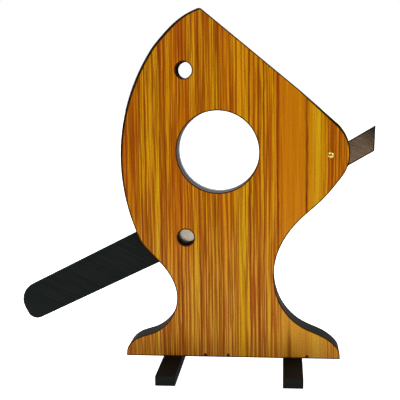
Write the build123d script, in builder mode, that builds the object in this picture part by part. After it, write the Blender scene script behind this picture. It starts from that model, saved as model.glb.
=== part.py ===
"""Wrist-chopper stand: two faced boards with a blade slot between them, on two cross bars,
and a chopper arm that swings in the slot on a brass pin.

Millimetres. +Z is up and the front face looks along -Y. The origin is on the floor, at the middle
of the whole object, handle and tail included.
"""
import os
from math import cos, radians, sin

from build123d import *

# Overall layout. Board sizes are measured from the middle of the board's bottom edge.
BOARD_X = 49.46           # the board's middle line, right of the origin
BOARD_HEIGHT = 457.0
BASE_HALF_WIDTH = 141.5
FOOT_WIDTH = 25.4
FOOT_HEIGHT = 12.7
FOOT_LENGTH = 134.0
FOOT_SPACING = 158.8      # between the middles of the two cross bars

# Thickness of the sandwich, front to back
CORE = 8.0
LAMINATE = 1.0
SLOT = 6.0
SLOT_FACE = SLOT / 2
CORE_FACE = SLOT_FACE + CORE
OUTER_FACE = CORE_FACE + LAMINATE

# Holes and pivot
PIVOT = (128.1, 270.0)
WRIST_HOLE = (-16.9, 273.7)
WRIST_RADIUS = 53.3
CARROT_RADIUS = 10.75
CARROT_X = PIVOT[0] - 187.7
CARROT_RISE = 108.85      # the two small holes lie this far above and below the pivot
CARROT_HOLES = [(CARROT_X, PIVOT[1] + CARROT_RISE), (CARROT_X, PIVOT[1] - CARROT_RISE)]

# Board outline: from the left flank over the crown, the peak, the slope and the shoulder
CROWN_CENTRE = (112.7, 264.0)
CROWN_RADIUS = 256.6
CROWN_BOTTOM = 203.9      # degrees round the crown's centre
CROWN_TOP = 147.0
PEAK_CURVE = [(-89.4, 420.2), (-72.3, 437.7), (-55.2, 450.0)]
PEAK = (-38.1, 457.7)     # where the two top edges would meet
PEAK_HEADING = 22.0       # degrees above level in which the left edge comes to the peak
PEAK_ROUND = 6.0
SLOPE_KNEE = (88.0, 353.0)
SHOULDER_CENTRE = (101.3, 272.8)
SHOULDER_RADIUS = 51.4
SHOULDER_TOP = 50.3
SHOULDER_BOTTOM = -25.0
RIGHT_FLANK = [(137.8, 235.7), (120.6, 214.9), (88.4, 184.8), (60.6, 142.4), (55.1, 109.0)]
RIGHT_FLARE = [(66.9, 67.5), (93.5, 42.0), (127.1, 25.4), (139.0, 13.5)]
LEFT_FLANK = [(-106.0, 139.3), (-81.0, 109.0), (-72.8, 82.0)]
LEFT_FLARE = [(-80.1, 54.4), (-104.5, 32.2), (-129.0, 23.0), (-139.4, 12.5)]

# The facing lies a little inside the board's painted edge at the crown and the shoulder
FACING_CROWN_CENTRE = (118.0, 261.5)
FACING_CROWN_RADIUS = 260.4
FACING_CROWN_BOTTOM = 202.9
FACING_PEAK_CURVE = [(-86.6, 420.1), (-69.6, 437.5), (-52.5, 449.9)]
FACING_PEAK = (-37.0, 456.8)
FACING_SHOULDER_CENTRE = (104.2, 271.5)
FACING_SHOULDER_RADIUS = 48.3
FACING_SHOULDER_TOP = 46.8

# Chopper arm, along its own length from the pivot towards the handle
REST_DROP = 26.2          # degrees below level
BLADE = 2.0
HANDLE = 5.4
BLADE_TOP = 8.0
EYE_RADIUS = 14.0
TAIL = [(-68.0, 7.7), (-52.4, -21.4)]
TAIL_ROOT = [(-14.0, -24.0), (-20.0, 4.0)]
HANDLE_START = 233.0
HANDLE_END = 460.5
HANDLE_TOP = (19.8, 17.1)
HANDLE_BOTTOM = (-31.0, -28.7)
HANDLE_END_ROUND = (24.0, 14.0)
TANG_END = 260.0
TANG = (5.0, -26.0)
TANG_FIT = 0.3            # gap round the tang inside the handle
EDGE_BEVEL = (0.8, 5.0)   # how far the cutting edge is ground in from the side and up the blade
RIVETS = (240.0, 250.0)
RIVET_RISE = -10.5
RIVET_RADIUS = 2.0

# Pivot hardware
BOLT_RADIUS = 2.5
BOLT_HEAD_RADIUS = 4.3
BOLT_HEAD_HEIGHT = 2.7
BOLT_HEAD_RIM = 0.1
SLEEVE_RADIUS = 4.0
RUNNING = 0.05            # clearance all round a turning fit
SLIP_WASHER_RADIUS = 9.0
SLIP_WASHER = 1.9
NUT_WASHER_RADIUS = 6.0
NUT_WASHER = 1.0
NUT_FLATS = 8.0
NUT_HEIGHT = 4.0
NUT_DOME = 3.6
NUT_DOME_INSET = 0.3
NUT_DOME_RIM = 0.4

# Stops, screws and brads
STOP_RADIUS = 4.0
STOP_REACH = 30.0         # the stop dowel meets the blade this far from the pivot
RAISED = 70.0             # degrees the arm turns
STOP_DEPTH = 5.0
DOWEL_CHAMFER = 0.5
REST_GAP = 0.05           # between the blade and the spacer or the dowel that stops it
TAIL_SWEEP = 71.0         # radius round the pivot that the turning tail needs
SCREW_RADIUS = 1.75
SCREW_HEAD_RADIUS = 3.6
SCREW_HEAD = 2.2
SCREW_RIM = 0.2
SCREW_SINK = 0.3
RECESS_LENGTH = 3.8
RECESS_WIDTH = 0.8
RECESS_DEPTH = 1.3
FOOT_SCREW_LENGTH = 30.0
FOOT_SCREW_Y = SLOT_FACE + CORE / 2
BOARD_SCREW_LENGTH = 20.0
BOARD_SCREWS = [(-118.0, 12.0), (118.0, 12.0), (-45.0, 40.0), (45.0, 40.0), (-38.0, 112.0), (28.0, 150.0)]
BRAD_RADIUS = 0.8
BRADS = [(-36.1, 2.7), (-5.7, 2.7), (98.3, 2.7)]
BRAD_LENGTH = 12.0
FIT = 0.02                # a driven screw or brad in its hole
EASE = 0.8                # worn corners of the painted bars


def turned(reach, rise, angle):
    """A point on the arm, in board sizes, with the arm raised by angle from rest."""
    a = radians(angle - REST_DROP)
    return (PIVOT[0] - reach * cos(a) + rise * sin(a), PIVOT[1] + reach * sin(a) + rise * cos(a))


def board_plane(y):
    """The upright plane at y, with its zero at the middle of the board's bottom edge."""
    return Plane(origin=(BOARD_X, y, FOOT_HEIGHT), x_dir=(1, 0, 0), z_dir=(0, -1, 0))


def arm_plane(y):
    """The upright plane at y, with its zero at the pivot and its first axis along the arm."""
    drop = radians(REST_DROP)
    start = (BOARD_X + PIVOT[0], y, FOOT_HEIGHT + PIVOT[1])
    return Plane(origin=start, x_dir=(-cos(drop), 0, -sin(drop)), z_dir=(0, 1, 0))


def outline_face(crown, peak_curve, peak, shoulder):
    """The outline as a face; crown and shoulder are arcs from their first angle to their second."""
    with BuildSketch() as face:
        with BuildLine():
            crown_arc = CenterArc(*crown)
            shoulder_arc = CenterArc(*shoulder)
            Spline(
                [crown_arc @ 1, *peak_curve, peak],
                tangents=[crown_arc % 1, (cos(radians(PEAK_HEADING)), sin(radians(PEAK_HEADING)))],
            )
            Polyline(peak, SLOPE_KNEE, shoulder_arc @ 0)
            right_corner = (BASE_HALF_WIDTH, 0)
            left_corner = (-BASE_HALF_WIDTH, 0)
            Spline(
                [shoulder_arc @ 1, *RIGHT_FLANK, *RIGHT_FLARE, right_corner],
                tangents=[shoulder_arc % 1, (0, -1)],
            )
            left_side = [crown_arc @ 0, *LEFT_FLANK, *LEFT_FLARE, left_corner]
            Spline(left_side, tangents=[-(crown_arc % 0), (0, -1)])
            Line(left_corner, right_corner)
        make_face()
        fillet(face.vertices().sort_by(Axis.Y)[-1], PEAK_ROUND)
    return face.sketch


def arc_values(centre, radius, start, end):
    """A centre arc's centre, radius, first angle and turn."""
    return (centre, radius, start, end - start)


def screw_body(length, grow=0.0):
    """A countersunk screw pointing down from z = 0, or with grow the pocket that it fits in."""
    shank = SCREW_RADIUS + grow
    rim = SCREW_HEAD_RADIUS + grow
    mouth = SCREW_SINK if grow else 0.0
    with BuildPart() as body:
        with BuildSketch(Plane.XZ):
            with BuildLine():
                Polyline(
                    (0, mouth),
                    (rim, mouth),
                    (rim, -SCREW_RIM),
                    (shank, -SCREW_HEAD),
                    (shank, -length + 2 * shank),
                    (0, -length - grow),
                    close=True,
                )
            make_face()
        revolve(axis=Axis.Z)
    return body.part


def screw_set(length, planes):
    """Cross-head countersunk screws as separate solids, each sunk a little below its plane."""
    plain = screw_body(length)
    with BuildPart() as one:
        add(plain)
        with BuildSketch(Plane.XY):
            Rectangle(RECESS_LENGTH, RECESS_WIDTH)
            Rectangle(RECESS_WIDTH, RECESS_LENGTH)
        extrude(amount=-RECESS_DEPTH, mode=Mode.SUBTRACT)
    with BuildPart() as group:
        for plane in planes:
            add(plane.offset(-SCREW_SINK) * one.part)
    return group.part


def cut_screw_pockets(length, planes):
    """Cuts the current part where the screws on these planes go."""
    pocket = screw_body(length, FIT)
    for plane in planes:
        add(plane.offset(-SCREW_SINK) * pocket, mode=Mode.SUBTRACT)


def cut_board_holes():
    """The wrist hole, both carrot holes and the bolt hole, in the current sketch."""
    with Locations(WRIST_HOLE):
        Circle(WRIST_RADIUS, mode=Mode.SUBTRACT)
    with Locations(*CARROT_HOLES):
        Circle(CARROT_RADIUS, mode=Mode.SUBTRACT)
    with Locations(PIVOT):
        Circle(BOLT_RADIUS + RUNNING, mode=Mode.SUBTRACT)


def cut_brad_holes():
    """The brads' holes, in the current sketch."""
    with Locations(*BRADS):
        Circle(BRAD_RADIUS + FIT, mode=Mode.SUBTRACT)


def cut_stop_socket(amount):
    """A blind hole for the stop dowel, cut from the current board's inner face."""
    with BuildSketch(board_plane(-SLOT_FACE if amount > 0 else SLOT_FACE)) as socket:
        with Locations(stop_at):
            Circle(STOP_RADIUS + FIT)
    extrude(socket.sketch, amount=amount, mode=Mode.SUBTRACT)


def rivet_circles(radius):
    """The tang rivets' circles, in the current sketch."""
    with Locations(*[(reach, RIVET_RISE) for reach in RIVETS]):
        Circle(radius)


board = outline_face(
    arc_values(CROWN_CENTRE, CROWN_RADIUS, CROWN_BOTTOM, CROWN_TOP),
    PEAK_CURVE,
    PEAK,
    arc_values(SHOULDER_CENTRE, SHOULDER_RADIUS, SHOULDER_TOP, SHOULDER_BOTTOM),
)
facing = outline_face(
    arc_values(FACING_CROWN_CENTRE, FACING_CROWN_RADIUS, FACING_CROWN_BOTTOM, CROWN_TOP),
    FACING_PEAK_CURVE,
    FACING_PEAK,
    arc_values(FACING_SHOULDER_CENTRE, FACING_SHOULDER_RADIUS, FACING_SHOULDER_TOP, SHOULDER_BOTTOM),
)
stop_at = turned(STOP_REACH, BLADE_TOP + STOP_RADIUS + REST_GAP, RAISED)
foot_middles = {"left": BOARD_X - FOOT_SPACING / 2, "right": BOARD_X + FOOT_SPACING / 2}
foot_screw_planes = {
    side: [Plane(origin=(x, y, 0), z_dir=(0, 0, -1)) for y in (-FOOT_SCREW_Y, FOOT_SCREW_Y)]
    for side, x in foot_middles.items()
}
all_foot_screw_planes = foot_screw_planes["left"] + foot_screw_planes["right"]
board_screw_planes = [
    Plane(origin=(BOARD_X + x, OUTER_FACE, FOOT_HEIGHT + z), x_dir=(1, 0, 0), z_dir=(0, 1, 0))
    for x, z in BOARD_SCREWS
]

# Boards and facings
with BuildPart() as front_board:
    with BuildSketch(board_plane(-SLOT_FACE)):
        add(board)
        cut_board_holes()
        cut_brad_holes()
    extrude(amount=CORE)
    cut_stop_socket(STOP_DEPTH + FIT)
    cut_screw_pockets(BOARD_SCREW_LENGTH, board_screw_planes)
    cut_screw_pockets(FOOT_SCREW_LENGTH, all_foot_screw_planes)

with BuildPart() as front_laminate:
    with BuildSketch(board_plane(-CORE_FACE)):
        add(facing)
        cut_board_holes()
        cut_brad_holes()
    extrude(amount=LAMINATE)

with BuildPart() as rear_board:
    with BuildSketch(board_plane(CORE_FACE)):
        add(board)
        cut_board_holes()
    extrude(amount=CORE)
    cut_stop_socket(-STOP_DEPTH - FIT)
    cut_screw_pockets(BOARD_SCREW_LENGTH, board_screw_planes)
    cut_screw_pockets(FOOT_SCREW_LENGTH, all_foot_screw_planes)

with BuildPart() as rear_laminate:
    with BuildSketch(board_plane(OUTER_FACE)):
        add(facing)
        cut_board_holes()
    extrude(amount=LAMINATE)
    cut_screw_pockets(BOARD_SCREW_LENGTH, board_screw_planes)

# Between the boards: the spacer fills the base and waist up to the resting arm's lower edge
with BuildPart() as base_spacer:
    with BuildSketch(board_plane(SLOT_FACE)):
        add(board)
        with BuildLine():
            Polyline(
                turned(TAIL[1][0], TAIL[1][1] - REST_GAP, 0),
                turned(TAIL_ROOT[0][0], TAIL_ROOT[0][1] - REST_GAP, 0),
                turned(HANDLE_START, HANDLE_BOTTOM[0] - REST_GAP, 0),
                turned(HANDLE_END, HANDLE_BOTTOM[1] - REST_GAP, 0),
                (-BOARD_HEIGHT, 2 * BOARD_HEIGHT),
                (BOARD_HEIGHT, 2 * BOARD_HEIGHT),
                close=True,
            )
        make_face(mode=Mode.SUBTRACT)
        with Locations(PIVOT):
            Circle(TAIL_SWEEP, mode=Mode.SUBTRACT)
        cut_brad_holes()
    extrude(amount=SLOT)
    cut_screw_pockets(BOARD_SCREW_LENGTH, board_screw_planes)

with BuildPart() as raise_stop_dowel:
    with BuildSketch(board_plane(SLOT_FACE + STOP_DEPTH)):
        with Locations(stop_at):
            Circle(STOP_RADIUS)
    extrude(amount=SLOT + 2 * STOP_DEPTH)
    chamfer(raise_stop_dowel.edges().filter_by(GeomType.CIRCLE), DOWEL_CHAMFER)


# Cross bars and fasteners
def foot(side):
    """A cross bar with eased edges and two countersunk holes from below."""
    with BuildPart() as bar:
        with Locations((foot_middles[side], 0, 0)):
            Box(FOOT_WIDTH, FOOT_LENGTH, FOOT_HEIGHT, align=(Align.CENTER, Align.CENTER, Align.MIN))
        fillet(bar.edges(), EASE)
        cut_screw_pockets(FOOT_SCREW_LENGTH, foot_screw_planes[side])
    return bar.part


left_foot = foot("left")
right_foot = foot("right")
left_foot_screws = screw_set(FOOT_SCREW_LENGTH, foot_screw_planes["left"])
right_foot_screws = screw_set(FOOT_SCREW_LENGTH, foot_screw_planes["right"])
board_screws = screw_set(BOARD_SCREW_LENGTH, board_screw_planes)

with BuildPart() as edge_brads:
    with BuildSketch(board_plane(BRAD_LENGTH - OUTER_FACE)):
        with Locations(*BRADS):
            Circle(BRAD_RADIUS)
    extrude(amount=BRAD_LENGTH)

# Pivot hardware
with BuildPart() as pivot_bolt:
    with BuildSketch(board_plane(OUTER_FACE + NUT_WASHER + NUT_HEIGHT)):
        with Locations(PIVOT):
            Circle(BOLT_RADIUS)
    extrude(amount=2 * OUTER_FACE + NUT_WASHER + NUT_HEIGHT)
    with BuildSketch(board_plane(-OUTER_FACE)):
        with Locations(PIVOT):
            Circle(BOLT_HEAD_RADIUS)
    extrude(amount=BOLT_HEAD_HEIGHT)
    fillet(pivot_bolt.edges().sort_by(Axis.Y)[0], BOLT_HEAD_HEIGHT - BOLT_HEAD_RIM)

with BuildPart() as pivot_sleeve:
    with BuildSketch(board_plane(SLOT_FACE)):
        with Locations(PIVOT):
            Circle(SLEEVE_RADIUS)
            Circle(BOLT_RADIUS + RUNNING, mode=Mode.SUBTRACT)
    extrude(amount=SLOT)


def slip_washer(side):
    """A plastic washer between the blade and a board; side is -1 in front and 1 behind."""
    middle = side * (SLOT_FACE + BLADE / 2) / 2
    with BuildPart() as washer:
        with BuildSketch(board_plane(middle + SLIP_WASHER / 2)):
            with Locations(PIVOT):
                Circle(SLIP_WASHER_RADIUS)
                Circle(SLEEVE_RADIUS + 2 * RUNNING, mode=Mode.SUBTRACT)
        extrude(amount=SLIP_WASHER)
    return washer.part


front_slip_washer = slip_washer(-1)
rear_slip_washer = slip_washer(1)

with BuildPart() as nut_washer:
    with BuildSketch(board_plane(OUTER_FACE + NUT_WASHER)):
        with Locations(PIVOT):
            Circle(NUT_WASHER_RADIUS)
            Circle(BOLT_RADIUS + RUNNING, mode=Mode.SUBTRACT)
    extrude(amount=NUT_WASHER)

nut_start = OUTER_FACE + NUT_WASHER
with BuildPart() as pivot_nut:
    with BuildSketch(board_plane(nut_start + NUT_HEIGHT)):
        with Locations(PIVOT):
            RegularPolygon(NUT_FLATS / 2, 6, major_radius=False)
    extrude(amount=NUT_HEIGHT)
    with BuildSketch(board_plane(nut_start + NUT_HEIGHT + NUT_DOME)):
        with Locations(PIVOT):
            Circle(NUT_FLATS / 2 - NUT_DOME_INSET)
    extrude(amount=NUT_DOME)
    fillet(pivot_nut.edges().sort_by(Axis.Y)[-1], NUT_DOME - NUT_DOME_RIM)
    with BuildSketch(board_plane(nut_start + NUT_HEIGHT)):
        with Locations(PIVOT):
            Circle(BOLT_RADIUS + FIT)
    extrude(amount=NUT_HEIGHT, mode=Mode.SUBTRACT)

# Chopper arm; only the edge in front of the pivot is ground, the tail keeps its full thickness
with BuildPart() as blade:
    with BuildSketch(arm_plane(-BLADE / 2)):
        with BuildLine():
            Polyline(
                TAIL_ROOT[0],
                (HANDLE_START, HANDLE_BOTTOM[0]),
                (HANDLE_START, TANG[1]),
                (TANG_END, TANG[1]),
                (TANG_END, TANG[0]),
                (HANDLE_START, TANG[0]),
                (HANDLE_START, BLADE_TOP),
                (EYE_RADIUS, BLADE_TOP),
                TAIL_ROOT[1],
                close=True,
            )
        make_face()
        Circle(EYE_RADIUS)
        Circle(SLEEVE_RADIUS + RUNNING, mode=Mode.SUBTRACT)
    extrude(amount=BLADE)
    for side in blade.faces().filter_by(Axis.Y):
        lower_edge = side.outer_wire().edges().filter_by(GeomType.LINE).sort_by(SortBy.LENGTH)[-1]
        chamfer(lower_edge, EDGE_BEVEL[1], EDGE_BEVEL[0], reference=side)
    with BuildSketch(arm_plane(-BLADE / 2)):
        with BuildLine():
            Polyline(*TAIL, *TAIL_ROOT, close=True)
        make_face()
    extrude(amount=BLADE)
    with BuildSketch(arm_plane(-BLADE / 2)):
        rivet_circles(RIVET_RADIUS + FIT)
    extrude(amount=BLADE, mode=Mode.SUBTRACT)

with BuildPart() as handle:
    with BuildSketch(arm_plane(-HANDLE / 2)) as handle_outline:
        with BuildLine():
            Polyline(
                (HANDLE_START, HANDLE_TOP[0]),
                (HANDLE_END, HANDLE_TOP[1]),
                (HANDLE_END, HANDLE_BOTTOM[1]),
                (HANDLE_START, HANDLE_BOTTOM[0]),
                close=True,
            )
        make_face()
        fillet(handle_outline.vertices().group_by(Axis.X)[-1].sort_by(Axis.Y)[-1], HANDLE_END_ROUND[0])
        fillet(handle_outline.vertices().group_by(Axis.X)[-1].sort_by(Axis.Y)[0], HANDLE_END_ROUND[1])
    extrude(amount=HANDLE)
    fillet(handle.faces().filter_by(Axis.Y).edges(), EASE)
    with BuildSketch(arm_plane(-BLADE / 2 - FIT)):
        with BuildLine():
            Polyline(
                (HANDLE_START - TANG_FIT, TANG[0] + TANG_FIT),
                (TANG_END + TANG_FIT, TANG[0] + TANG_FIT),
                (TANG_END + TANG_FIT, TANG[1] - TANG_FIT),
                (HANDLE_START - TANG_FIT, TANG[1] - TANG_FIT),
                close=True,
            )
        make_face()
    extrude(amount=BLADE + 2 * FIT, mode=Mode.SUBTRACT)
    with BuildSketch(arm_plane(-HANDLE / 2)):
        rivet_circles(RIVET_RADIUS + FIT)
    extrude(amount=HANDLE, mode=Mode.SUBTRACT)

with BuildPart() as tang_rivets:
    with BuildSketch(arm_plane(-HANDLE / 2)):
        rivet_circles(RIVET_RADIUS)
    extrude(amount=HANDLE)

pieces = {
    "front_board": front_board.part,
    "front_laminate": front_laminate.part,
    "rear_board": rear_board.part,
    "rear_laminate": rear_laminate.part,
    "base_spacer": base_spacer.part,
    "raise_stop_dowel": raise_stop_dowel.part,
    "left_foot": left_foot,
    "right_foot": right_foot,
    "left_foot_screws": left_foot_screws,
    "right_foot_screws": right_foot_screws,
    "board_screws": board_screws,
    "edge_brads": edge_brads.part,
    "pivot_bolt": pivot_bolt.part,
    "pivot_sleeve": pivot_sleeve.part,
    "front_slip_washer": front_slip_washer,
    "rear_slip_washer": rear_slip_washer,
    "nut_washer": nut_washer.part,
    "pivot_nut": pivot_nut.part,
    "blade": blade.part,
    "handle": handle.part,
    "tang_rivets": tang_rivets.part,
}
os.makedirs("parts", exist_ok=True)
for name, piece in pieces.items():
    piece.label = name
    export_step(piece, f"parts/{name}.step")
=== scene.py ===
"""Wrist-chopper stand: the looks of the finished prop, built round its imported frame."""
import math

import bpy
from mathutils import Matrix, Vector


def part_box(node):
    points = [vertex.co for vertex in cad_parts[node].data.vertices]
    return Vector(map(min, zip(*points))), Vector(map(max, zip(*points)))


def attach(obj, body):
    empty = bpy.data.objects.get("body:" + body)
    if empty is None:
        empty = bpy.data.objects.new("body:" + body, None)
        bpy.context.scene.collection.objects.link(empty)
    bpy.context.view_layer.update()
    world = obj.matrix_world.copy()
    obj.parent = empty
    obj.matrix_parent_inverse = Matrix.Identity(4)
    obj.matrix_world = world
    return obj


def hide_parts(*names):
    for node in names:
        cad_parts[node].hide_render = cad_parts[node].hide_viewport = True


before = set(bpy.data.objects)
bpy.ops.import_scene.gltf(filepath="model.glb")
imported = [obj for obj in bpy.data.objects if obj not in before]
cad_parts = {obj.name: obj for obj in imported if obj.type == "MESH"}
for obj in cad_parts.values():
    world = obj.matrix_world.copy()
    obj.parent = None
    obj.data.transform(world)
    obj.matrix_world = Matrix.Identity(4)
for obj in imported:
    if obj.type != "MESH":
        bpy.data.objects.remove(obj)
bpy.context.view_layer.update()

MM = 0.001
MERGE = 0.00001           # points this close are one point
SQUARE = 0.99             # how squarely a face has to look along Y to count as flat
CLOSED_DOME = 86          # degrees round a dome's quarter circle at which its last ring lies

bl_info = {
    "name": "Wrist Chopper Stand",
    "version": (1, 0, 0),
    "blender": (4, 5, 0),
    "location": "View3D > Sidebar > Chopper",
    "description": "Finishes the wood-faced wrist-chopper stand and its studio",
    "category": "Object",
}


# ---------------------------------------------------------------- places taken from the frame
def middle(node):
    """The middle of a part's box."""
    low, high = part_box(node)
    return (low + high) / 2


FACING_LOW, FACING_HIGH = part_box("front_laminate")
FACING_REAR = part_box("rear_laminate")[1].y
PIVOT = middle("pivot_sleeve")
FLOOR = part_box("left_foot")[0].z
BOARD_MIDDLE = middle("base_spacer").x
BOARD_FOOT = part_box("front_board")[0].z
WRIST_HOLE = Vector((BOARD_MIDDLE - 0.0169, 0, BOARD_FOOT + 0.2737))
WRIST_RADIUS = 0.0533
SMALL_HOLE_RISE = 0.10885
SMALL_HOLES = [PIVOT + Vector((-0.1877, 0, rise)) for rise in (SMALL_HOLE_RISE, -SMALL_HOLE_RISE)]
SMALL_RADIUS = 0.01075
TAIL_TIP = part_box("blade")[1]
ARM_SLOPE = 26.2          # degrees that the arm slopes at rest
ARM_TURN = math.radians(90 - ARM_SLOPE)


# ---------------------------------------------------------------- mesh helpers
def pick_only(piece):
    """Makes a piece the only selected object, and the active one."""
    bpy.ops.object.select_all(action="DESELECT")
    piece.select_set(True)
    bpy.context.view_layer.objects.active = piece


def edit_faces(piece, chosen):
    """Opens a piece in edit mode with only the chosen faces selected."""
    pick_only(piece)
    bpy.context.tool_settings.mesh_select_mode = (False, False, True)
    mesh = piece.data
    for items in (mesh.vertices, mesh.edges, mesh.polygons):
        items.foreach_set("select", [False] * len(items))
    for face in mesh.polygons:
        face.select = chosen(face)
    bpy.ops.object.mode_set(mode="EDIT")


def close_edit():
    """Back to object mode, with doubled points merged and faces pointing outwards."""
    bpy.ops.mesh.select_all(action="SELECT")
    bpy.ops.mesh.remove_doubles(threshold=MERGE)
    bpy.ops.mesh.normals_make_consistent(inside=False)
    bpy.ops.object.mode_set(mode="OBJECT")


def flat_at(levels):
    """A test for the faces that look along Y at one of some levels."""
    def test(face):
        on_level = any(abs(face.center.y - level) < MERGE for level in levels)
        return on_level and abs(face.normal.y) > SQUARE
    return test


def round_bar(name, centre, radius, start, end, sides=64):
    """A bar along Y from start to end, round or with a few flats."""
    place = (centre.x, (start + end) / 2, centre.z)
    bpy.ops.object.select_all(action="DESELECT")
    bpy.ops.mesh.primitive_cylinder_add(
        vertices=sides, radius=radius, depth=end - start,
        location=place, rotation=(math.radians(90), 0, 0))
    bar = bpy.context.object
    bar.name = name
    bpy.ops.object.transform_apply(location=True, rotation=True, scale=True)
    return bar


def raise_dome(piece, side, centre, height, rim, steps=12):
    """Grows a dome from the end face on one side of Y: a straight rim, then shrinking rings."""
    ends = [vertex.co.y for vertex in piece.data.vertices]
    level = min(ends) if side < 0 else max(ends)
    edit_faces(piece, flat_at([level]))
    bpy.ops.mesh.extrude_region_move(TRANSFORM_OT_translate={"value": (0, side * rim, 0)})
    reached, width = 0.0, 1.0
    for step in range(1, steps + 1):
        angle = math.radians(CLOSED_DOME) * step / steps
        rise = (height - rim) * math.sin(angle)
        narrow = math.cos(angle)
        move = (0, side * (rise - reached), 0)
        bpy.ops.mesh.extrude_region_move(TRANSFORM_OT_translate={"value": move})
        bpy.ops.transform.resize(value=(narrow / width, 1, narrow / width), center_override=centre)
        reached, width = rise, narrow
    close_edit()


def add_bevel(piece, width, segments=2, angle=50):
    """Rounds a piece's sharp edges and applies the modifier."""
    pick_only(piece)
    bevel = piece.modifiers.new("Rounded Edges", "BEVEL")
    bevel.width = width
    bevel.segments = segments
    bevel.limit_method = "ANGLE"
    bevel.angle_limit = math.radians(angle)
    bpy.ops.object.modifier_apply(modifier=bevel.name)


def bore(piece, centre, radius, start, end):
    """Cuts a round hole along Y."""
    cutter = round_bar("cutter", centre, radius, start, end, sides=48)
    pick_only(piece)
    cut = piece.modifiers.new("Bore", "BOOLEAN")
    cut.operation = "DIFFERENCE"
    cut.solver = "EXACT"
    cut.object = cutter
    bpy.ops.object.modifier_apply(modifier=cut.name)
    bpy.data.objects.remove(cutter)


def smooth(piece, angle=40):
    """Smooth shading on all but the sharp edges."""
    pick_only(piece)
    bpy.ops.object.shade_smooth_by_angle(angle=math.radians(angle))


def merged_copy(node, name):
    """A copy of a part's mesh, with doubled points merged."""
    piece = bpy.data.objects.new(name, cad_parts[node].data.copy())
    bpy.context.scene.collection.objects.link(piece)
    edit_faces(piece, lambda face: True)
    bpy.ops.mesh.remove_doubles(threshold=MERGE)
    bpy.ops.object.mode_set(mode="OBJECT")
    return piece


def line_rim(piece, levels, width, face_finish, rim_finish):
    """Insets the flat faces at some levels of Y; all but what lies inside gets the rim's finish."""
    piece.data.materials.clear()
    for name in (rim_finish, face_finish):
        piece.data.materials.append(bpy.data.materials[name])
    edit_faces(piece, flat_at(levels))
    bpy.ops.mesh.inset(thickness=width, depth=0)
    piece.active_material_index = 1
    bpy.ops.object.material_slot_assign()
    bpy.ops.object.mode_set(mode="OBJECT")


def hand_over(piece, body, node):
    """Finishes a new piece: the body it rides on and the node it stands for."""
    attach(piece, body)
    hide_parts(node)


# ---------------------------------------------------------------- node helpers
def add_node(tree, kind, settings=None, inputs=None):
    """A node with its settings and its unlinked inputs; a socket as an input is linked."""
    node = tree.nodes.new(kind)
    for name, value in (settings or {}).items():
        setattr(node, name, value)
    for name, value in (inputs or {}).items():
        if isinstance(value, bpy.types.NodeSocket):
            tree.links.new(value, node.inputs[name])
        else:
            node.inputs[name].default_value = value
    return node


def math_node(tree, operation, first, second=0.0):
    """One sum on one or two values."""
    return add_node(tree, "ShaderNodeMath", {"operation": operation}, {0: first, 1: second}).outputs[0]


def times(tree, first, second):
    """Two values multiplied."""
    return math_node(tree, "MULTIPLY", first, second)


def solid(colour):
    """A plain colour with its alpha; a socket stays as it is."""
    return (*colour, 1) if isinstance(colour, tuple) else colour


def mix_colour(tree, factor, first, second):
    """A colour between two colours, each plain or from a socket."""
    inputs = {0: factor, 6: solid(first), 7: solid(second)}
    return add_node(tree, "ShaderNodeMix", {"data_type": "RGBA"}, inputs).outputs[2]


def ramp(tree, value, stops, interpolation="LINEAR"):
    """A colour ramp with (place, colour or grey) stops."""
    node = add_node(tree, "ShaderNodeValToRGB", None, {0: value})
    band = node.color_ramp
    band.interpolation = interpolation
    while len(band.elements) < len(stops):
        band.elements.new(0.5)
    for element, (place, colour) in zip(band.elements, stops):
        element.position = place
        element.color = solid(colour) if isinstance(colour, tuple) else (colour, colour, colour, 1)
    return node.outputs[0]


def range_node(tree, value, low, high, to_low=0.0, to_high=1.0, smooth=False):
    """A value moved from one range to another, and held inside it."""
    settings = {"interpolation_type": "SMOOTHSTEP" if smooth else "LINEAR"}
    inputs = {0: value, 1: low, 2: high, 3: to_low, 4: to_high}
    return add_node(tree, "ShaderNodeMapRange", settings, inputs).outputs[0]


def split_xyz(tree, vector):
    """The three parts of a vector."""
    return add_node(tree, "ShaderNodeSeparateXYZ", None, {0: vector}).outputs


def between(tree, value, low, high):
    """A value from 0 to 1, moved to another range."""
    return range_node(tree, value, 0.0, 1.0, low, high)


FLOAT, VECTOR = "NodeSocketFloat", "NodeSocketVector"


def new_group(name, inputs, outputs):
    """An empty shader group with its sockets; returns the tree, its inputs and its output node."""
    tree = bpy.data.node_groups.new(name, "ShaderNodeTree")
    for socket, kind, default in inputs:
        made = tree.interface.new_socket(name=socket, in_out="INPUT", socket_type=kind)
        if default is not None:
            made.default_value = default
    for socket, kind in outputs:
        tree.interface.new_socket(name=socket, in_out="OUTPUT", socket_type=kind)
    source = tree.nodes.new("NodeGroupInput")
    target = tree.nodes.new("NodeGroupOutput")
    return tree, source.outputs, target


def use_group(tree, group, inputs):
    """A placed group; returns its outputs."""
    return add_node(tree, "ShaderNodeGroup", {"node_tree": group}, inputs).outputs


# ---------------------------------------------------------------- shared effects
DRIFTS_ACROSS = 9.0       # how often the streaks change their drift per metre, across and along
DRIFTS_ALONG = 5.0
NOISE_SPAN = (0.3, 0.7)   # nearly all of a noise texture lies between these


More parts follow.
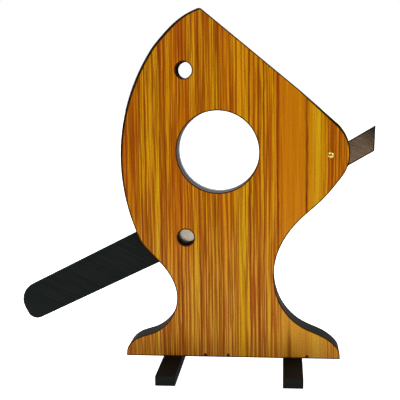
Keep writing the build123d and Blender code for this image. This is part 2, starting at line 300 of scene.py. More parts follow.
def grain_group():
    """Upright streaks: one value that changes quickly across the grain and slowly along it."""
    tree, given, target = new_group(
        "Upright Grain",
        [("Vector", VECTOR, None), ("Lines per Metre", FLOAT, 300.0), ("Length", FLOAT, 0.02),
         ("Wander", FLOAT, 0.002), ("Seed", FLOAT, 0.0), ("Detail", FLOAT, 2.0)],
        [("Value", FLOAT)],
    )
    split = split_xyz(tree, given["Vector"])
    slow = add_node(tree, "ShaderNodeCombineXYZ", None, {
        0: times(tree, split[0], DRIFTS_ACROSS),
        1: given["Seed"],
        2: times(tree, split[2], DRIFTS_ALONG),
    }).outputs[0]
    drift = add_node(tree, "ShaderNodeTexNoise", None, {"Vector": slow, "Scale": 1.0, "Detail": 1.0})
    drift = times(tree, math_node(tree, "SUBTRACT", drift.outputs[0], 0.5), given["Wander"])
    across = math_node(tree, "ADD", split[0], drift)
    place = add_node(tree, "ShaderNodeCombineXYZ", None, {
        0: times(tree, across, given["Lines per Metre"]),
        1: given["Seed"],
        2: times(tree, split[2], times(tree, given["Lines per Metre"], given["Length"])),
    }).outputs[0]
    inputs = {"Vector": place, "Scale": 1.0, "Detail": given["Detail"], "Roughness": 0.55}
    noise = add_node(tree, "ShaderNodeTexNoise", None, inputs)
    tree.links.new(noise.outputs[0], target.inputs["Value"])
    return tree


def wear_group():
    """Uneven paint: a soft blotch value, a fine speckle value and a bumpy height."""
    tree, given, target = new_group(
        "Paint Wear",
        [("Vector", VECTOR, None), ("Blotch Scale", FLOAT, 18.0), ("Speckle Scale", FLOAT, 900.0)],
        [("Blotch", FLOAT), ("Speckle", FLOAT), ("Height", FLOAT)],
    )
    noises = []
    for effect, detail in (("Blotch", 4.0), ("Speckle", 2.0)):
        noise = add_node(tree, "ShaderNodeTexNoise", None, {
            "Vector": given["Vector"], "Scale": given[effect + " Scale"], "Detail": detail, "Roughness": 0.6})
        tree.links.new(range_node(tree, noise.outputs[0], *NOISE_SPAN), target.inputs[effect])
        noises.append(noise.outputs[0])
    blotch, speckle = noises
    height = math_node(tree, "ADD", times(tree, blotch, 0.5), speckle)
    tree.links.new(height, target.inputs["Height"])
    return tree


def streaks(tree, grain, place, pattern):
    """One set of upright streaks; the pattern is lines per metre, length and seed."""
    density, length, seed = pattern
    inputs = {"Vector": place, "Lines per Metre": density, "Length": length, "Seed": seed}
    return use_group(tree, grain, inputs)[0]


# ---------------------------------------------------------------- materials
def new_material(name, metallic=0.0, specular=0.4):
    """A material with one Principled shader; returns it, its tree, its shader and object coordinates."""
    made = bpy.data.materials.new(name)
    made.use_nodes = True
    tree = made.node_tree
    shader = tree.nodes["Principled BSDF"]
    shader.inputs["Metallic"].default_value = metallic
    shader.inputs["Specular IOR Level"].default_value = specular
    place = tree.nodes.new("ShaderNodeTexCoord").outputs["Object"]
    return made, tree, shader, place


def connect(tree, shader, colour=None, roughness=None, height=None, bump=0.1, bump_distance=0.0005):
    """Feeds the shader its varying colour, roughness and bump."""
    if colour is not None:
        tree.links.new(colour, shader.inputs["Base Color"])
    if roughness is not None:
        tree.links.new(roughness, shader.inputs["Roughness"])
    if height is not None:
        inputs = {"Strength": bump, "Distance": bump_distance, "Height": height}
        node = add_node(tree, "ShaderNodeBump", None, inputs)
        tree.links.new(node.outputs[0], shader.inputs["Normal"])


def facing_y(tree):
    """How squarely a surface faces front or back, from 0 to 1."""
    facing = add_node(tree, "ShaderNodeNewGeometry").outputs["True Normal"]
    return math_node(tree, "ABSOLUTE", split_xyz(tree, facing)[1])


def along_arm(tree, place):
    """Coordinates turned so that upright streaks run along the arm."""
    inputs = {"Vector": place, "Rotation": (0, ARM_TURN, 0)}
    return add_node(tree, "ShaderNodeMapping", None, inputs).outputs[0]


# Wood tones, the light ones first; among them are a painted sheen for low down and a painted shade for the
# foot
YELLOW = (0.680, 0.375, 0.006)
PAINTED_SHEEN = (0.700, 0.390, 0.048)
AMBER = (0.670, 0.285, 0.003)
ORANGE = (0.600, 0.205, 0.002)
RUST = (0.600, 0.172, 0.002)
RUST_DEEP = (0.390, 0.074, 0.001)
THREAD = (0.250, 0.046, 0.0006)
BROWN = (0.150, 0.022, 0.0004)
PAINTED_FOOT_SHADE = (0.120, 0.024, 0.0005)

SWAY = 0.9                # millimetres that the growth lines drift to each side in long waves
RIPPLE = 0.45             # the same in short waves
SPREAD = 1.5              # widens every growth line

# Broad tones across the plank, in millimetres right of the board's middle line
PLANK_TONES = [
    (-142, RUST), (-126, ORANGE), (-113, AMBER), (-103, AMBER), (-96, YELLOW), (-92, ORANGE), (-78, ORANGE),
    (-68, RUST), (-56, RUST), (-50, AMBER), (-43, AMBER), (-38, ORANGE), (-24, AMBER), (-21, YELLOW),
    (-14, ORANGE), (2, ORANGE), (6, AMBER), (11, AMBER), (21, AMBER), (26, ORANGE), (40, AMBER), (55, AMBER),
    (61, RUST), (66, ORANGE), (99.5, ORANGE), (102, AMBER), (113, YELLOW), (119, AMBER),
    (128, RUST), (140, RUST), (150, AMBER),
]

# Dark growth lines from left to right: place and half width in millimetres, and depth
LEFT_LINES = [
    (-136, 2.0, 0.55), (-130.5, 1.5, 0.45), (-125.5, 1.4, 0.5), (-121.5, 1.2, 0.45), (-117, 1.4, 0.8),
    (-111, 1.3, 0.75), (-105.5, 1.2, 0.5), (-100, 1.1, 0.55), (-91, 1.5, 0.85), (-85.3, 1.7, 0.75),
]
MIDDLE_LINES = [
    (-77, 1.0, 0.35), (-70, 1.1, 0.55), (-65.6, 1.4, 0.85), (-60.5, 1.1, 0.6), (-56.2, 1.1, 0.75),
    (-50.4, 0.9, 0.6), (-41.2, 1.6, 1.0), (-33.8, 1.2, 0.8), (-29.8, 1.0, 0.6), (-26.4, 0.9, 0.45),
]
CENTRE_LINES = [
    (-20.5, 1.3, 0.7), (-15.6, 1.2, 0.75), (-11.6, 0.9, 0.5), (-4.8, 0.9, 0.4), (0.4, 1.1, 0.65),
    (7.6, 1.1, 0.5), (24.8, 1.2, 0.85), (30.2, 1.1, 0.55), (36.6, 1.4, 0.75), (43.0, 1.3, 0.8),
]
RIGHT_LINES = [
    (60.4, 1.5, 0.95), (97.6, 1.9, 1.0), (115.6, 1.0, 0.5), (120.4, 1.0, 0.65), (124.7, 1.1, 0.85),
    (129.0, 1.0, 0.5), (133.4, 1.1, 0.6), (138.6, 1.3, 0.6), (144.0, 1.2, 0.4),
]

# How much of the fine figure shows, from the left end of the plank (0) to its right end (1)
CALM = [
    (0.0, 1.0), (0.48, 1.0), (0.53, 0.7), (0.57, 1.0), (0.68, 1.0), (0.73, 0.25), (0.88, 0.3), (0.94, 1.0),
]

# Streaks: lines per metre, length and seed
SWAY_STREAKS = (16.0, 0.55, 4.2)
RIPPLE_STREAKS = (90.0, 0.35, 6.6)
PATCH_STREAKS = (120.0, 0.12, 9.3)
FINE_STREAKS = (430.0, 0.012, 3.1)
HAIR_STREAKS = (700.0, 0.016, 8.4)
HANDLE_STREAKS = (1100.0, 0.02, 5.5)
STEEL_STREAKS = (2600.0, 0.01, 2.2)

# Fine marks in the wood: the noise values between which they come in, their strength and colour
DARK_FIGURE = ((0.53, 0.42), 0.85, RUST_DEEP)
BRIGHT_FIGURE = ((0.54, 0.62), 0.55, YELLOW)
THREADS = ((0.50, 0.38), 0.75, THREAD)
PORE_SCALE = (1500, 1500, 520)
PORE_SPAN = (0.47, 0.32)
PORE_STRENGTH = 0.5
PATCHES = (0.3, 0.6, 0.7, 1.0)    # how patchy the growth lines are: two noise values, two strengths

# Bands in millimetres right of the board's middle line: where each begins, is full, fades and ends
YELLOW_BAND = (5, 10, 20, 25)
FOOT_FLAME = (70, 75, 75, 80)

# Changes with height: from one height to another (0 foot, 1 top), and the strengths at both
# The painted sheen low down
PAINTED_SHEEN_RISE = (0.45, 0.15, 0.0, 0.55)
RIGHT_LINES_RISE = (0.08, 0.20, 0.25, 1.0)
YELLOW_BAND_RISE = (0.75, 0.35)
FOOT_FLAME_RISE = (0.13, 0.03, 0.0, 0.75)
# The painted shade towards the foot
FOOT_SHADE_RISE = (0.0, 0.09, 0.30, 0.0)


def plank_place(tree, across):
    """Place on the plank from its left end (0) to its right end (1)."""
    return range_node(tree, across, PLANK_TONES[0][0], PLANK_TONES[-1][0])


def band_mask(tree, across, band, smooth=False):
    """1 inside a band, and 0 outside it."""
    begins, full, fades, ends = band
    return times(
        tree, range_node(tree, across, begins, full, smooth=smooth),
        range_node(tree, across, ends, fades, smooth=smooth))


def tone_ramp(tree, across):
    """The broad tones, looked up by millimetres across the board."""
    first, last = PLANK_TONES[0][0], PLANK_TONES[-1][0]
    stops = [((place - first) / (last - first), tone) for place, tone in PLANK_TONES]
    return ramp(tree, plank_place(tree, across), stops)


def line_ramp(tree, across, lines):
    """Darkness of one set of growth lines: each rises from nothing to its depth and back."""
    first = lines[0][0] - lines[0][1] * SPREAD
    last = lines[-1][0] + lines[-1][1] * SPREAD
    stops = []
    for place, half, depth in lines:
        for offset, value in ((-half * SPREAD, 0.0), (0.0, depth), (half * SPREAD, 0.0)):
            stops.append(((place + offset - first) / (last - first), value))
    return ramp(tree, range_node(tree, across, first, last), stops, "EASE")


def broad_tone(tree, across, rise):
    """The plank's broad tones, turned paler low down by a painted sheen, with a clear yellow band right of
    the middle.
    """
    # Painted sheen: the tones turn paler low down
    tone = mix_colour(tree, range_node(tree, rise, *PAINTED_SHEEN_RISE, smooth=True), tone_ramp(tree, across), PAINTED_SHEEN)
    low = range_node(tree, rise, *YELLOW_BAND_RISE, smooth=True)
    return mix_colour(tree, times(tree, band_mask(tree, across, YELLOW_BAND), low), tone, YELLOW)


def growth_lines(tree, across, rise, patchy):
    """Darkness of all the growth lines and of the short dark flame at the foot."""
    line = times(tree, line_ramp(tree, across, RIGHT_LINES), range_node(tree, rise, *RIGHT_LINES_RISE))
    for lines in (LEFT_LINES, MIDDLE_LINES, CENTRE_LINES):
        line = math_node(tree, "MAXIMUM", line_ramp(tree, across, lines), line)
    line = times(tree, line, range_node(tree, patchy, *PATCHES))
    low = range_node(tree, rise, *FOOT_FLAME_RISE, smooth=True)
    flame = times(tree, band_mask(tree, across, FOOT_FLAME, smooth=True), low)
    return math_node(tree, "MAXIMUM", line, flame)


def lay_marks(tree, colour, streak, calm, marks):
    """Lays one kind of fine mark over the wood."""
    span, strength, tint = marks
    mask = times(tree, range_node(tree, streak, *span, smooth=True), calm)
    return mix_colour(tree, times(tree, mask, strength), colour, tint)


def wood_material(grain):
    """The satin wood-grain facing: broad tones, growth lines, fine figure and pores."""
    made, tree, shader, place = new_material("Wood Facing", specular=0.08)
    split = split_xyz(tree, place)
    rise = range_node(tree, split[2], FACING_LOW.z, FACING_HIGH.z)
    across = times(tree, math_node(tree, "SUBTRACT", split[0], BOARD_MIDDLE), 1 / MM)
    for pattern, drift in ((SWAY_STREAKS, SWAY), (RIPPLE_STREAKS, RIPPLE)):
        wave = range_node(tree, streaks(tree, grain, place, pattern), *NOISE_SPAN, -drift, drift)
        across = math_node(tree, "ADD", across, wave)
    fine = streaks(tree, grain, place, FINE_STREAKS)
    calm = ramp(tree, plank_place(tree, across), CALM)
    colour = broad_tone(tree, across, rise)
    colour = lay_marks(tree, colour, fine, calm, DARK_FIGURE)
    colour = lay_marks(tree, colour, fine, calm, BRIGHT_FIGURE)
    patchy = streaks(tree, grain, place, PATCH_STREAKS)
    colour = mix_colour(tree, growth_lines(tree, across, rise, patchy), colour, BROWN)
    colour = lay_marks(tree, colour, streaks(tree, grain, place, HAIR_STREAKS), calm, THREADS)
    fibres = add_node(tree, "ShaderNodeMapping", None, {"Vector": place, "Scale": PORE_SCALE}).outputs[0]
    pores = add_node(tree, "ShaderNodeTexNoise", None, {"Vector": fibres, "Scale": 1.0, "Detail": 2.0})
    pore = range_node(tree, pores.outputs[0], *PORE_SPAN)
    colour = mix_colour(tree, times(tree, pore, PORE_STRENGTH), colour, BROWN)
    # Painted shade: the wood darkens towards the foot
    colour = mix_colour(tree, range_node(tree, rise, *FOOT_SHADE_RISE, smooth=True), colour, PAINTED_FOOT_SHADE)
    rough = range_node(tree, fine, *NOISE_SPAN, 0.40, 0.30)
    height = math_node(tree, "SUBTRACT", fine, times(tree, pore, 0.6))
    connect(tree, shader, colour, rough, height, bump=0.10, bump_distance=0.0003)
    return made


# Paints and steel: pairs are a colour and the shade that it drifts to
BOARD_BLACK = ((0.002, 0.002, 0.0022), (0.004, 0.004, 0.0045))
# Painted pale reflection on the wrist hole's wall, at the front and at the back
HOLE_GLARE_FRONT = (0.11, 0.105, 0.12)
HOLE_GLARE_REAR = (0.50, 0.49, 0.52)
BAR_BLACK = ((0.0020, 0.0015, 0.0004), (0.0045, 0.0032, 0.0009))
# Painted light on the bars' front and back ends
BAR_END_PAINTED_LIGHT = (0.0085, 0.0105, 0.0085)
HANDLE_BLACK = ((0.0030, 0.0050, 0.0040), (0.008, 0.0115, 0.0100))
# Painted highlight on the handle's edges
HANDLE_PAINTED_HIGHLIGHT = (0.035, 0.040, 0.038)
STEEL_CLEAN = ((0.66, 0.58, 0.48), (0.50, 0.435, 0.345))
STEEL_BROWN = ((0.70, 0.465, 0.285), (0.57, 0.385, 0.25))
STEEL_CORNER = (0.07, 0.065, 0.05)
STEEL_LINES = (0.20, 0.15, 0.10)
BROWNED_LENGTH = 0.06     # how far left of the pivot the steel starts to turn brown
CORNER_SLANT = 0.9        # slant of the darkened corner's border
CORNER_REACH = 0.036      # how far from the tail's tip the darkening starts
CORNER_FULL = 0.008       # and where it is full


def dark_rim_material(name, wear, colour, worn):
    """Dull dark band round a face's edge, for the trimmed facings' core and for the blade's dark outline."""
    made, tree, shader, place = new_material(name, specular=0.0)
    patch = use_group(tree, wear, {"Vector": place, "Blotch Scale": 150.0})
    mixed = mix_colour(tree, patch["Blotch"], colour, worn)
    connect(tree, shader, mixed, height=patch["Height"], bump=0.05, bump_distance=0.0001)
    shader.inputs["Roughness"].default_value = 0.9
    return made


def hole_distance(tree, place, centre):
    """How far a point lies from a hole's axis, which runs along Y."""
    split = split_xyz(tree, place)
    flat = add_node(tree, "ShaderNodeCombineXYZ", None, {0: split[0], 2: split[2]}).outputs[0]
    inputs = {0: flat, 1: (centre.x, 0, centre.z)}
    return add_node(tree, "ShaderNodeVectorMath", {"operation": "DISTANCE"}, inputs).outputs["Value"]


def board_material(wear):
    """Dull black board edges: matt in the small holes, with a painted pale reflection on the wrist hole's
    wall that grows lighter towards the back.
    """
    made, tree, shader, place = new_material("Edge Black", specular=0.05)
    patch = use_group(tree, wear, {"Vector": place})
    # Painted reflection: the wrist hole's wall turns pale grey, lighter towards the back
    wrist_glare = math_node(tree, "LESS_THAN", hole_distance(tree, place, WRIST_HOLE), WRIST_RADIUS + MM)
    depth = range_node(tree, split_xyz(tree, place)[1], 0.0, FACING_REAR)
    grey = mix_colour(tree, depth, HOLE_GLARE_FRONT, HOLE_GLARE_REAR)
    colour = mix_colour(tree, wrist_glare, mix_colour(tree, patch["Blotch"], *BOARD_BLACK), grey)
    nearest = math_node(tree, "MINIMUM", *(hole_distance(tree, place, centre) for centre in SMALL_HOLES))
    matt = math_node(tree, "LESS_THAN", nearest, SMALL_RADIUS + MM)
    rough = math_node(tree, "MAXIMUM", between(tree, patch["Blotch"], 0.50, 0.62), matt)
    connect(tree, shader, colour, rough, patch["Height"], bump=0.08, bump_distance=0.0002)
    return made


def bar_material(wear):
    """Brownish black paint on the cross bars, with painted light making their front and back ends greyer."""
    made, tree, shader, place = new_material("Bar Black", specular=0.08)
    patch = use_group(tree, wear, {"Vector": place})
    # Painted light: faces that look front and back turn greyer
    ends = range_node(tree, facing_y(tree), 0.4, 0.9)
    colour = mix_colour(tree, ends, mix_colour(tree, patch["Blotch"], *BAR_BLACK), BAR_END_PAINTED_LIGHT)
    rough = between(tree, patch["Blotch"], 0.62, 0.74)
    connect(tree, shader, colour, rough, patch["Height"], bump=0.08, bump_distance=0.0002)
    return made


def handle_material(wear, grain):
    """Matt black paint over wood, with the grain just showing along the handle and a painted highlight on its
    edges.
    """
    made, tree, shader, place = new_material("Handle Black", specular=0.1)
    lines = streaks(tree, grain, along_arm(tree, place), HANDLE_STREAKS)
    patch = use_group(tree, wear, {"Vector": place, "Blotch Scale": 40.0})
    colour = mix_colour(tree, range_node(tree, lines, 0.35, 0.65), *HANDLE_BLACK)
    # Painted highlight: the handle's edges and sides turn lighter
    rounded = range_node(tree, facing_y(tree), 0.97, 0.75, 0.0, 0.7)
    colour = mix_colour(tree, rounded, colour, HANDLE_PAINTED_HIGHLIGHT)
    rough = between(tree, patch["Blotch"], 0.55, 0.68)
    height = math_node(tree, "ADD", lines, times(tree, patch["Speckle"], 0.3))
    connect(tree, shader, colour, rough, height, bump=0.15, bump_distance=0.0003)
    return made


def steel_material(wear, grain):
    """Brushed steel bar: fine lines along it, clean in the middle and browned at the tail."""
    made, tree, shader, place = new_material("Blade Steel", metallic=1.0)
    lines = streaks(tree, grain, along_arm(tree, place), STEEL_STREAKS)
    patch = use_group(tree, wear, {"Vector": place, "Blotch Scale": 60.0, "Speckle Scale": 1500.0})
    split = split_xyz(tree, place)
    clean = mix_colour(tree, patch["Blotch"], *STEEL_CLEAN)
    brown = mix_colour(tree, patch["Blotch"], *STEEL_BROWN)
    tail = range_node(tree, split[0], PIVOT.x - BROWNED_LENGTH, PIVOT.x, smooth=True)
    colour = mix_colour(tree, tail, clean, brown)
    corner = math_node(tree, "ADD", split[0], times(tree, split[2], CORNER_SLANT))
    tip = TAIL_TIP.x + CORNER_SLANT * TAIL_TIP.z
    darkened = range_node(tree, corner, tip - CORNER_REACH, tip - CORNER_FULL, 0.0, 0.92)
    colour = mix_colour(tree, darkened, colour, STEEL_CORNER)
    colour = mix_colour(tree, range_node(tree, lines, *NOISE_SPAN, 0.0, 0.2), colour, STEEL_LINES)
    rough = range_node(tree, lines, *NOISE_SPAN, 0.22, 0.34)
    connect(tree, shader, colour, rough, lines, bump=0.06, bump_distance=0.0001)
    return made


def metal_material(name, wear, colour, tarnish, roughness):
    """Turned or plated hardware with a faint tarnish."""
    made, tree, shader, place = new_material(name, metallic=1.0)
    patch = use_group(tree, wear, {"Vector": place, "Blotch Scale": 300.0, "Speckle Scale": 4000.0})
    mixed = mix_colour(tree, times(tree, patch["Blotch"], 0.6), colour, tarnish)
    rough = between(tree, patch["Speckle"], roughness - 0.04, roughness + 0.08)
    connect(tree, shader, mixed, rough, patch["Height"], bump=0.04, bump_distance=0.00005)
    return made


def plain_material(name, wear, colour, shade, roughness):
    """Nylon or bare wood with a gentle change of tone."""
    made, tree, shader, place = new_material(name)
    patch = use_group(tree, wear, {"Vector": place, "Blotch Scale": 200.0, "Speckle Scale": 3000.0})
    mixed = mix_colour(tree, patch["Blotch"], colour, shade)
    rough = between(tree, patch["Speckle"], roughness - 0.05, roughness + 0.05)
    connect(tree, shader, mixed, rough, patch["Height"], bump=0.05, bump_distance=0.0001)
    return made


FLOOR_GLOW = 1.0          # keeps the floor white up to the horizon


def floor_material():
    """Pale matte studio floor."""
    made, tree, shader, place = new_material("Studio Floor", specular=0.2)
    tint = add_node(tree, "ShaderNodeTexNoise", None, {"Vector": place, "Scale": 3.0, "Detail": 2.0})
    colour = ramp(tree, tint.outputs[0], [(0.0, 0.90), (1.0, 0.94)])
    connect(tree, shader, colour)
    shader.inputs["Roughness"].default_value = 0.85
    shader.inputs["Emission Color"].default_value = (1, 1, 1, 1)
    seen = add_node(tree, "ShaderNodeLightPath").outputs["Is Camera Ray"]
    tree.links.new(times(tree, seen, FLOOR_GLOW), shader.inputs["Emission Strength"])
    return made


def finish_node(node, made):
    """Gives a part of the frame its finish."""
    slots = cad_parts[node].data.materials
    slots.clear()
    slots.append(made)


# ---------------------------------------------------------------- operators
class CHOPPER_OT_finishes(bpy.types.Operator):
    """Make every finish, and give the parts of the frame theirs"""
    bl_idname = "chopper.finishes"
    bl_label = "Finish the Parts"

    def execute(self, context):
        grain, wear = grain_group(), wear_group()
        wood_material(grain)
        steel_material(wear, grain)
        dark_rim_material("Facing Rim", wear, (0.045, 0.014, 0.002), (0.070, 0.024, 0.003))
        dark_rim_material("Blade Rim", wear, (0.018, 0.016, 0.012), (0.030, 0.025, 0.018))
        brass = metal_material("Brass", wear, (0.84, 0.60, 0.16), (0.62, 0.42, 0.09), 0.18)
        zinc = metal_material("Zinc Screws", wear, (0.55, 0.55, 0.52), (0.36, 0.35, 0.30), 0.30)
        brad = metal_material("Dark Brads", wear, (0.05, 0.035, 0.02), (0.03, 0.02, 0.012), 0.5)
        tube = metal_material("Turned Tube", wear, (0.62, 0.61, 0.60), (0.45, 0.43, 0.40), 0.22)
        nylon = plain_material("Nylon", wear, (0.80, 0.79, 0.72), (0.70, 0.69, 0.62), 0.45)
        birch = plain_material("Birch Dowel", wear, (0.60, 0.42, 0.24), (0.48, 0.32, 0.17), 0.6)
        finishes = {
            board_material(wear): ["front_board", "rear_board", "base_spacer"],
            bar_material(wear): ["left_foot", "right_foot"],
            handle_material(wear, grain): ["handle"],
            brass: ["nut_washer"],
            zinc: ["left_foot_screws", "right_foot_screws", "board_screws", "tang_rivets"],
            brad: ["edge_brads"],
            tube: ["pivot_sleeve"],
            nylon: ["front_slip_washer", "rear_slip_washer"],
            birch: ["raise_stop_dowel"],
        }
        for made, nodes in finishes.items():
            for node in nodes:
                finish_node(node, made)
        return {"FINISHED"}


class CHOPPER_OT_facings(bpy.types.Operator):
    """Give both wood-grain facings the dark line round every cut edge"""
    bl_idname = "chopper.facings"
    bl_label = "Line the Facings"

    def execute(self, context):
        width = context.scene.chopper_parts.facing_line
        for node, name, outer in (
            ("front_laminate", "front_facing", FACING_LOW.y),
            ("rear_laminate", "rear_facing", FACING_REAR),
        ):
            piece = merged_copy(node, name)
            line_rim(piece, [outer], width, "Wood Facing", "Facing Rim")
            hand_over(piece, "stand", node)
        return {"FINISHED"}


class CHOPPER_OT_blade(bpy.types.Operator):
    """Give the steel blade its dark outline"""
    bl_idname = "chopper.blade"
    bl_label = "Edge the Blade"

    def execute(self, context):
        low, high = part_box("blade")
        piece = merged_copy("blade", "steel_blade")
        width = context.scene.chopper_parts.blade_line
        line_rim(piece, [low.y, high.y], width, "Blade Steel", "Blade Rim")
        hand_over(piece, "chopper_arm", "blade")
        return {"FINISHED"}


HEAD_STEP = 0.05 * MM     # straight step between the bolt head's rim and its dome


class CHOPPER_OT_pivot(bpy.types.Operator):
    """Turn the brass pivot bolt with its domed head, and its cap nut"""
    bl_idname = "chopper.pivot"
    bl_label = "Make the Pivot Hardware"

    def execute(self, context):
        parts = context.scene.chopper_parts
        self.make_bolt(parts)
        self.make_nut(parts)
        return {"FINISHED"}

    def make_bolt(self, parts):
        """Shank, then a wider head whose front is domed."""
        low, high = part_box("pivot_bolt")
        seat = FACING_LOW.y
        bolt = round_bar("brass_pivot_bolt", PIVOT, parts.shank_diameter / 2, seat, high.y)
        add_bevel(bolt, parts.fine_bevel)
        head_radius = (high.x - low.x) / 2
        head = round_bar("bolt_head", PIVOT, head_radius, seat - parts.head_rim, seat)
        raise_dome(head, -1, PIVOT, seat - low.y - parts.head_rim, HEAD_STEP)
        pick_only(bolt)
        head.select_set(True)
        bpy.ops.object.join()
        smooth(bolt)
        bolt.data.materials.append(bpy.data.materials["Brass"])
        hand_over(bolt, "stand", "pivot_bolt")

    def make_nut(self, parts):
        """A hexagon with rounded corners, a dome behind and a bore for the bolt in front."""
        low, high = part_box("pivot_nut")
        flat_end = low.y + parts.nut_height
        nut = round_bar("brass_cap_nut", PIVOT, (high.x - low.x) / 2, low.y, flat_end, sides=6)
        edit_faces(nut, lambda face: True)
        bpy.ops.transform.rotate(value=math.radians(30), orient_axis="Y", center_override=PIVOT)
        bpy.ops.object.mode_set(mode="OBJECT")
        add_bevel(nut, parts.nut_bevel, segments=3)
        # The bore starts in the open and stops 1 mm short of the hexagon's closed end
        bore(nut, PIVOT, parts.shank_diameter / 2, low.y - MM, flat_end - MM)
        dome_radius = (high.z - low.z) / 2 - parts.nut_inset
        dome = round_bar("nut_dome", PIVOT, dome_radius, flat_end - parts.fine_bevel, flat_end)
        raise_dome(dome, 1, PIVOT, high.y - flat_end, parts.head_rim)
        pick_only(nut)
        dome.select_set(True)
        bpy.ops.object.join()
        smooth(nut)
        nut.data.materials.append(bpy.data.materials["Brass"])
        hand_over(nut, "stand", "pivot_nut")


class CHOPPER_OT_stage(bpy.types.Operator):
    """Add the floor, the lights, the surroundings and the camera"""
    bl_idname = "chopper.stage"
    bl_label = "Set the Stage"

    def execute(self, context):
        settings = context.scene.chopper_stage
        bpy.ops.object.select_all(action="DESELECT")
        bpy.ops.mesh.primitive_circle_add(
            vertices=96, radius=settings.floor_radius, fill_type="NGON",
            location=(0, settings.floor_radius - settings.floor_front, FLOOR))
        floor = context.object
        floor.name = "studio_floor"
        bpy.ops.object.transform_apply(location=True, rotation=True, scale=True)
        floor.data.materials.append(floor_material())
        self.add_light("key_light", (-0.9, -1.5, 1.5), 1.3, settings.key_power)
        self.add_light("fill_light", (1.3, -1.3, 0.9), 1.2, settings.fill_power)
        self.add_light("top_light", (0.1, 0.5, 2.0), 1.6, settings.top_power)
        self.surround(context, settings)
        self.add_camera(context, settings)
        return {"FINISHED"}

    def add_light(self, name, place, size, power):
        """A soft square light that faces the board's middle."""
        aim = Vector(place) - middle("front_board")
        turn = aim.to_track_quat("Z", "Y").to_euler()
        bpy.ops.object.light_add(type="AREA", location=place, rotation=turn)
        light = bpy.context.object
        light.name = name
        light.data.size = size
        light.data.energy = power

    def surround(self, context, settings):
        """A white studio that is darker on the side that the board faces."""
        world = bpy.data.worlds.new("Studio")
        world.use_nodes = True
        tree = world.node_tree
        tree.nodes.clear()
        place = add_node(tree, "ShaderNodeTexCoord").outputs["Generated"]
        depth = split_xyz(tree, place)[1]
        front, back = settings.front_grey, settings.back_grey
        room = ramp(tree, range_node(tree, depth, -0.5, 0.5), [(0.0, front), (1.0, back)], "EASE")
        lit = add_node(tree, "ShaderNodeBackground", None, {0: room})
        seen = add_node(tree, "ShaderNodeBackground", None, {0: (1, 1, 1, 1)})
        seen_by_camera = add_node(tree, "ShaderNodeLightPath").outputs["Is Camera Ray"]
        both = add_node(tree, "ShaderNodeMixShader", None, {
            0: seen_by_camera, 1: lit.outputs[0], 2: seen.outputs[0]})
        out = add_node(tree, "ShaderNodeOutputWorld")
        tree.links.new(both.outputs[0], out.inputs[0])
        context.scene.world = world
        context.scene.view_settings.view_transform = "Standard"

    def add_camera(self, context, settings):
        """The camera stands in front, a little right of the middle and above it."""
        pan, tilt, roll = settings.pan, settings.tilt, settings.roll
        level = math.cos(tilt)
        ahead = Vector((-math.sin(pan) * level, math.cos(pan) * level, -math.sin(tilt)))
        bpy.ops.object.camera_add(location=settings.camera_place)
        camera = context.object
        camera.rotation_mode = "QUATERNION"
        lean = Matrix.Rotation(roll, 3, "Z").to_quaternion()
        camera.rotation_quaternion = ahead.to_track_quat("-Z", "Y") @ lean
        camera.data.lens = settings.lens
        camera.data.shift_x = settings.shift[0]
        camera.data.shift_y = settings.shift[1]
        camera.data.clip_start = 0.01
        context.scene.camera = camera


# ---------------------------------------------------------------- settings and panel
class ChopperStageSettings(bpy.types.PropertyGroup):
    """Sizes and strengths of the studio"""
    floor_radius: bpy.props.FloatProperty(
        name="Floor Radius", description="Radius of the round studio floor", default=4.0, unit="LENGTH")
    floor_front: bpy.props.FloatProperty(
        name="Floor Front", description="How far the floor reaches in front of the stand", default=0.9,
        unit="LENGTH")
    key_power: bpy.props.FloatProperty(
        name="Key Light", description="Power of the large light at the upper left", default=22.0,
        unit="POWER")
    fill_power: bpy.props.FloatProperty(
        name="Fill Light", description="Power of the light at the right", default=12.0, unit="POWER")
    top_power: bpy.props.FloatProperty(
        name="Top Light", description="Power of the light above and behind", default=24.0, unit="POWER")
    front_grey: bpy.props.FloatProperty(
        name="Room in Front", description="Brightness of the room on the side the board faces", default=0.05)
    back_grey: bpy.props.FloatProperty(
        name="Room Behind", description="Brightness of the backdrop side", default=1.0)
    camera_place: bpy.props.FloatVectorProperty(
        name="Camera Place", description="Where the camera stands", default=(0.1179, -0.7753, 0.3782),
        subtype="TRANSLATION")
    pan: bpy.props.FloatProperty(
        name="Pan", description="How far the camera turns left", default=math.radians(3.0), subtype="ANGLE")
    tilt: bpy.props.FloatProperty(
        name="Tilt", description="How far the camera looks down", default=math.radians(5.0), subtype="ANGLE")
    roll: bpy.props.FloatProperty(
        name="Roll", description="How far the camera leans", default=math.radians(-0.3), subtype="ANGLE")
    lens: bpy.props.FloatProperty(
        name="Lens", description="Focal length in millimetres", default=54.0)
    shift: bpy.props.FloatVectorProperty(
        name="Shift", description="Lens shift across and up", size=2, default=(-0.1318, -0.1684))


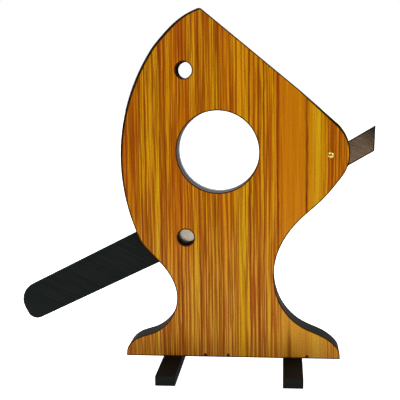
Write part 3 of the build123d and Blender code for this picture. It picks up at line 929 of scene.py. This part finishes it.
class ChopperPartSettings(bpy.types.PropertyGroup):
    """Sizes of the dark lines round the edges and of the brass hardware"""
    facing_line: bpy.props.FloatProperty(
        name="Facing Line", description="Width of the dark line round both facings", default=1.5 * MM,
        unit="LENGTH")
    blade_line: bpy.props.FloatProperty(
        name="Blade Line", description="Width of the dark outline round the blade", default=1.5 * MM,
        unit="LENGTH")
    shank_diameter: bpy.props.FloatProperty(
        name="Bolt Shank", description="Diameter of the pivot bolt's shank", default=5.0 * MM, unit="LENGTH")
    head_rim: bpy.props.FloatProperty(
        name="Head Rim", description="Straight rim under each dome", default=0.25 * MM, unit="LENGTH")
    nut_height: bpy.props.FloatProperty(
        name="Nut Height", description="Height of the cap nut's hexagon", default=4.0 * MM, unit="LENGTH")
    nut_bevel: bpy.props.FloatProperty(
        name="Nut Bevel", description="Rounding of the cap nut's edges", default=0.3 * MM, unit="LENGTH")
    nut_inset: bpy.props.FloatProperty(
        name="Nut Dome Inset", description="How far the dome lies inside the flats", default=0.3 * MM,
        unit="LENGTH")
    fine_bevel: bpy.props.FloatProperty(
        name="Fine Bevel", description="Rounding of turned edges", default=0.2 * MM, unit="LENGTH")


class CHOPPER_PT_panel(bpy.types.Panel):
    """The stand's operators and settings in the sidebar"""
    bl_idname = "CHOPPER_PT_panel"
    bl_label = "Wrist Chopper Stand"
    bl_space_type = "VIEW_3D"
    bl_region_type = "UI"
    bl_category = "Chopper"

    def draw(self, context):
        layout = self.layout
        for operator in OPERATORS:
            layout.operator(operator.bl_idname)
        for group in (context.scene.chopper_parts, context.scene.chopper_stage):
            for name in type(group).__annotations__:
                layout.prop(group, name)


OPERATORS = (CHOPPER_OT_finishes, CHOPPER_OT_facings, CHOPPER_OT_blade, CHOPPER_OT_pivot, CHOPPER_OT_stage)
CLASSES = (ChopperPartSettings, ChopperStageSettings, *OPERATORS, CHOPPER_PT_panel)


def register():
    for made in CLASSES:
        bpy.utils.register_class(made)
    bpy.types.Scene.chopper_parts = bpy.props.PointerProperty(type=ChopperPartSettings)
    bpy.types.Scene.chopper_stage = bpy.props.PointerProperty(type=ChopperStageSettings)


def unregister():
    del bpy.types.Scene.chopper_stage
    del bpy.types.Scene.chopper_parts
    for made in reversed(CLASSES):
        bpy.utils.unregister_class(made)


def main():
    register()
    bpy.ops.chopper.finishes()
    bpy.ops.chopper.facings()
    bpy.ops.chopper.blade()
    bpy.ops.chopper.pivot()
    bpy.ops.chopper.stage()


if __name__ == "__main__":
    main()
